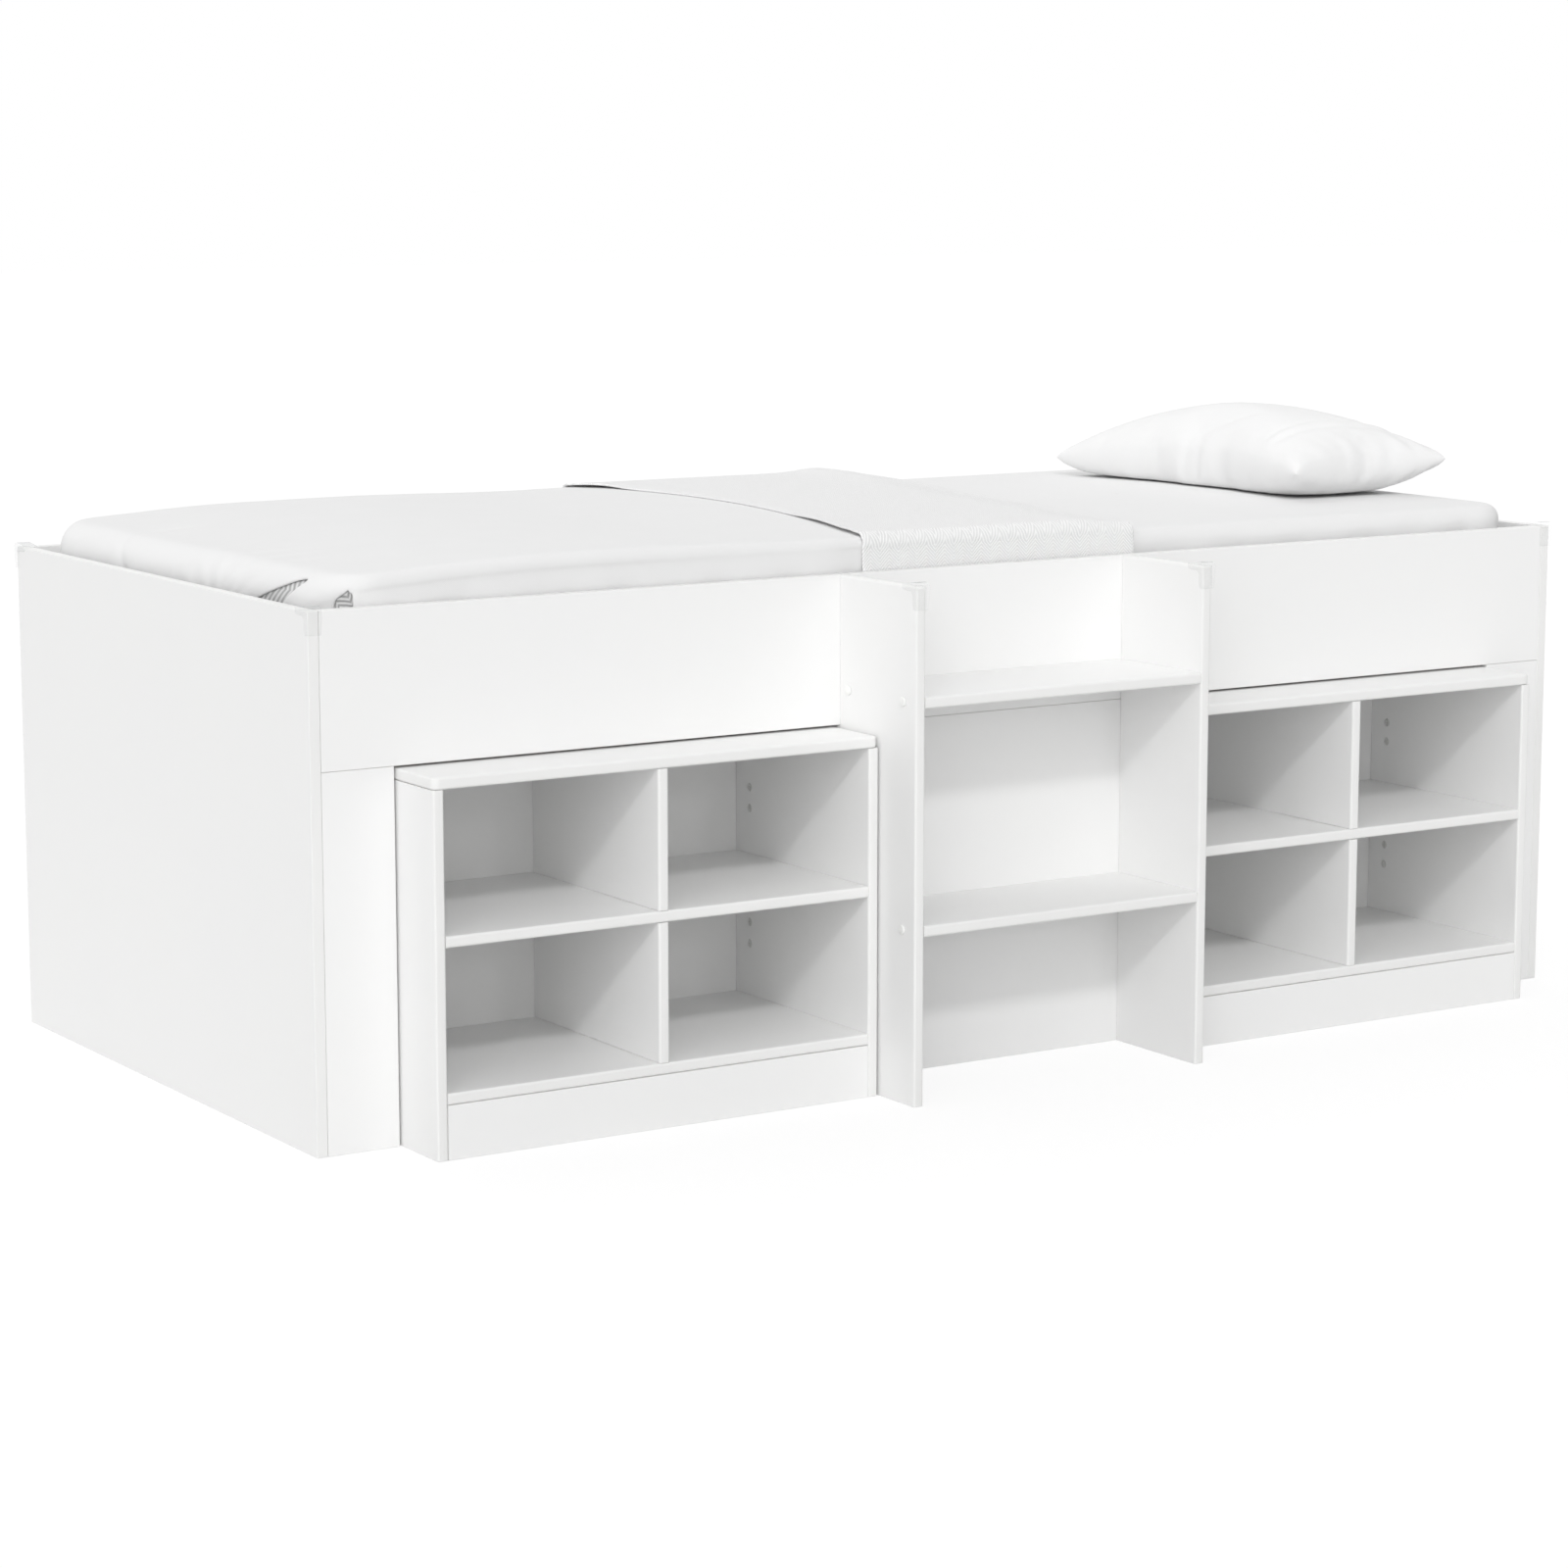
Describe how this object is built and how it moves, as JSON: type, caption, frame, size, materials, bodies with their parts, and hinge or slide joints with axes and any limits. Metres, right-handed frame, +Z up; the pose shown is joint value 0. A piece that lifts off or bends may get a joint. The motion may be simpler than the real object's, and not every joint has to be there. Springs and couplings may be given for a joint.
{
  "type": "loft bed",
  "caption": "Low children's loft bed in white board, with a front ladder between pull-out open bookcases, guard rails, corner guards, mattress, turned-back blanket and pillow.",
  "frame": {"origin": "centre of the footprint, corner guards and ladder included, on the floor", "axes": "+X along the bed towards the pillow end, +Y from the ladder side to the wall side, +Z up"},
  "size_m": [2.0346, 1.119, 0.8433],
  "materials": {
    "melamine_board": "white melamine face with white edge banding, satin",
    "bare_wood": "planed softwood, uncoated",
    "clear_plastic": "clear soft moulded plastic",
    "cap_plastic": "white moulded plastic",
    "sheet_cotton": "smooth white cotton sheet",
    "herringbone_cotton": "white herringbone weave",
    "plain_cotton": "white fine plain weave",
    "pillow_cotton": "smooth white cotton"
  },
  "bodies": {
    "bed": {"left_end_panel": "melamine_board", "right_end_panel": "melamine_board", "front_guard_rail": "melamine_board", "rear_guard_rail": "melamine_board", "rear_lower_rail": "melamine_board", "left_front_board": "melamine_board", "centre_front_board": "melamine_board", "right_front_board": "melamine_board", "left_partition": "melamine_board", "right_partition": "melamine_board", "front_slat_ledge": "bare_wood", "rear_slat_ledge": "bare_wood", "slat_1": "bare_wood", "slat_2": "bare_wood", "slat_3": "bare_wood", "slat_4": "bare_wood", "slat_5": "bare_wood", "slat_6": "bare_wood", "slat_7": "bare_wood", "slat_8": "bare_wood", "slat_9": "bare_wood", "slat_10": "bare_wood", "ladder_left_side": "melamine_board", "ladder_right_side": "melamine_board", "ladder_lower_step": "melamine_board", "ladder_upper_step": "melamine_board", "left_lower_rear_screw": "cap_plastic", "left_lower_front_screw": "cap_plastic", "left_upper_rear_screw": "cap_plastic", "left_upper_front_screw": "cap_plastic", "right_lower_rear_screw": "cap_plastic", "right_lower_front_screw": "cap_plastic", "right_upper_rear_screw": "cap_plastic", "right_upper_front_screw": "cap_plastic", "left_front_guard": "clear_plastic", "left_rear_guard": "clear_plastic", "right_front_guard": "clear_plastic", "right_rear_guard": "clear_plastic", "ladder_left_guard": "clear_plastic", "ladder_right_guard": "clear_plastic", "mattress": "sheet_cotton", "plain_blanket": "plain_cotton", "herringbone_blanket": "herringbone_cotton", "pillow": "pillow_cotton"},
    "left_bookcase": {"left_bookcase_top": "melamine_board", "left_bookcase_left_side": "melamine_board", "left_bookcase_right_side": "melamine_board", "left_bookcase_back": "melamine_board", "left_bookcase_plinth": "melamine_board", "left_bookcase_floor": "melamine_board", "left_bookcase_shelf": "melamine_board", "left_bookcase_divider": "melamine_board"},
    "right_bookcase": {"right_bookcase_top": "melamine_board", "right_bookcase_left_side": "melamine_board", "right_bookcase_right_side": "melamine_board", "right_bookcase_back": "melamine_board", "right_bookcase_plinth": "melamine_board", "right_bookcase_floor": "melamine_board", "right_bookcase_shelf": "melamine_board", "right_bookcase_divider": "melamine_board"}
  },
  "joints": [
    {"name": "left_bookcase_pull", "type": "slide", "parent": "bed", "child": "left_bookcase", "axis": [0, -1, 0], "range_m": [0, 0.3]},
    {"name": "right_bookcase_pull", "type": "slide", "parent": "bed", "child": "right_bookcase", "axis": [0, -1, 0], "range_m": [0, 0.3]}
  ]
}
